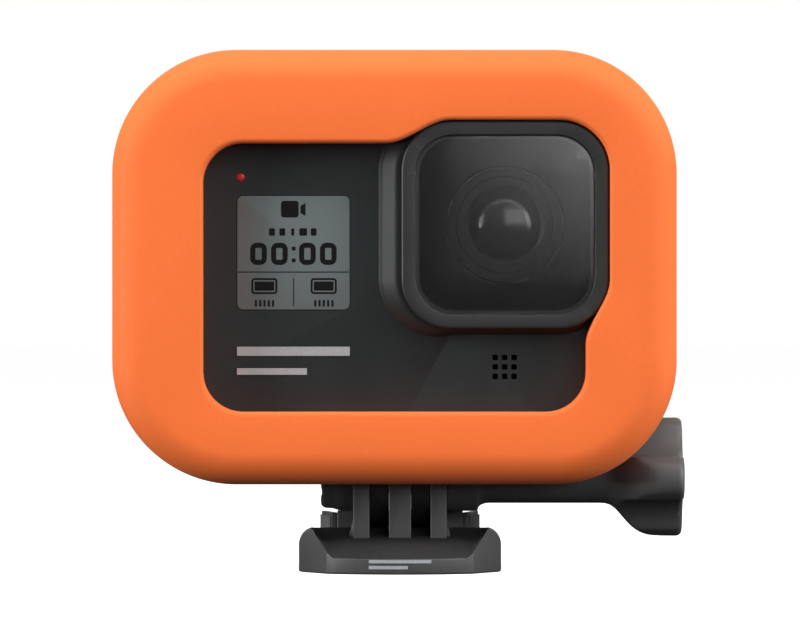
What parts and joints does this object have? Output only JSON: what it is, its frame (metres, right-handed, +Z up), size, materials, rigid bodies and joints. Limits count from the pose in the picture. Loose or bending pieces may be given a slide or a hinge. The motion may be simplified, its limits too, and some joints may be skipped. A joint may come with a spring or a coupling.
{
  "type": "action camera",
  "caption": "Small action camera in a soft foam float, tilting on folding fingers and a thumb screw above a quick-release buckle.",
  "frame": {"origin": "middle of the buckle's flat underside, straight below the tilt axis", "axes": "+X along the thumb screw towards its knob, +Y from the lens to the back of the camera, +Z up"},
  "size_m": [0.0879, 0.0421, 0.0801],
  "materials": {
    "buckle_base": "satin",
    "base_stripes": "satin",
    "captive_nut": "satin",
    "buckle_arm_left": "satin",
    "buckle_arm_right": "satin",
    "thumb_bolt": "satin",
    "thumb_knob": "satin",
    "finger_left": "satin",
    "finger_right": "satin",
    "finger_pins": "satin",
    "float_sleeve": "matte",
    "main_housing": "matte",
    "front_cover": "matte",
    "rear_frame": "matte",
    "housing_screws": "satin",
    "rear_screen_glass": "gloss",
    "rear_display_panel": "gloss",
    "lens_bezel": "satin",
    "lens_cover_glass": "gloss",
    "lens_mask": "satin",
    "lens_barrel": "satin",
    "lens_retaining_ring": "satin",
    "lens_front_element": "gloss",
    "lens_inner_elements": "gloss",
    "image_sensor": "gloss",
    "sensor_board": "satin",
    "front_lcd_window": "satin",
    "front_lcd_panel": "matte",
    "status_led": "gloss",
    "face_stripes": "satin",
    "grille_membrane": "matte",
    "speaker": "satin",
    "microphones": "satin",
    "main_board": "satin",
    "heat_spreader": "satin",
    "battery": "satin",
    "side_door": "matte",
    "door_seal": "matte",
    "usb_port": "satin",
    "card_slot": "satin",
    "memory_card": "satin",
    "button_switches": "satin",
    "button_seals": "matte",
    "shutter_button": "satin",
    "shutter_pad": "matte",
    "mode_button": "satin",
    "mode_pad": "matte"
  },
  "bodies": {
    "buckle": {"buckle_base": "buckle_base", "base_stripes": "base_stripes", "captive_nut": "captive_nut"},
    "arm_left": {"buckle_arm_left": "buckle_arm_left"},
    "arm_right": {"buckle_arm_right": "buckle_arm_right"},
    "thumb_screw": {"thumb_bolt": "thumb_bolt", "thumb_knob": "thumb_knob"},
    "shutter": {"shutter_button": "shutter_button", "shutter_pad": "shutter_pad"},
    "mode": {"mode_button": "mode_button", "mode_pad": "mode_pad"},
    "camera": {"finger_left": "finger_left", "finger_right": "finger_right", "finger_pins": "finger_pins", "float_sleeve": "float_sleeve", "main_housing": "main_housing", "front_cover": "front_cover", "rear_frame": "rear_frame", "housing_screws": "housing_screws", "rear_screen_glass": "rear_screen_glass", "rear_display_panel": "rear_display_panel", "lens_bezel": "lens_bezel", "lens_cover_glass": "lens_cover_glass", "lens_mask": "lens_mask", "lens_barrel": "lens_barrel", "lens_retaining_ring": "lens_retaining_ring", "lens_front_element": "lens_front_element", "lens_inner_elements": "lens_inner_elements", "image_sensor": "image_sensor", "sensor_board": "sensor_board", "front_lcd_window": "front_lcd_window", "front_lcd_panel": "front_lcd_panel", "status_led": "status_led", "face_stripes": "face_stripes", "grille_membrane": "grille_membrane", "speaker": "speaker", "microphones": "microphones", "main_board": "main_board", "heat_spreader": "heat_spreader", "battery": "battery", "side_door": "side_door", "door_seal": "door_seal", "usb_port": "usb_port", "card_slot": "card_slot", "memory_card": "memory_card", "button_switches": "button_switches", "button_seals": "button_seals"}
  },
  "joints": [
    {"name": "tilt", "type": "hinge", "parent": "buckle", "child": "camera", "pos_m": [0, 0, 0.0143], "axis": [1, 0, 0], "range_deg": [-15, 22]},
    {"name": "thumb_screw_turn", "type": "hinge", "parent": "buckle", "child": "thumb_screw", "pos_m": [0, 0, 0.0143], "axis": [1, 0, 0], "continuous": true},
    {"name": "squeeze_left", "type": "hinge", "parent": "buckle", "child": "arm_left", "pos_m": [-0.0118, -0.0053, 0], "axis": [0, 0, -1], "range_deg": [0, 3], "stiffness_Nm_per_rad": 0.5},
    {"name": "squeeze_right", "type": "hinge", "parent": "buckle", "child": "arm_right", "pos_m": [0.0118, -0.0053, 0], "axis": [0, 0, 1], "range_deg": [0, 3], "stiffness_Nm_per_rad": 0.5},
    {"name": "shutter_press", "type": "slide", "parent": "camera", "child": "shutter", "axis": [0, 0, -1], "range_m": [0, 0.0006], "stiffness_N_per_m": 1500},
    {"name": "mode_press", "type": "slide", "parent": "camera", "child": "mode", "axis": [-1, 0, 0], "range_m": [0, 0.0006], "stiffness_N_per_m": 1500}
  ]
}
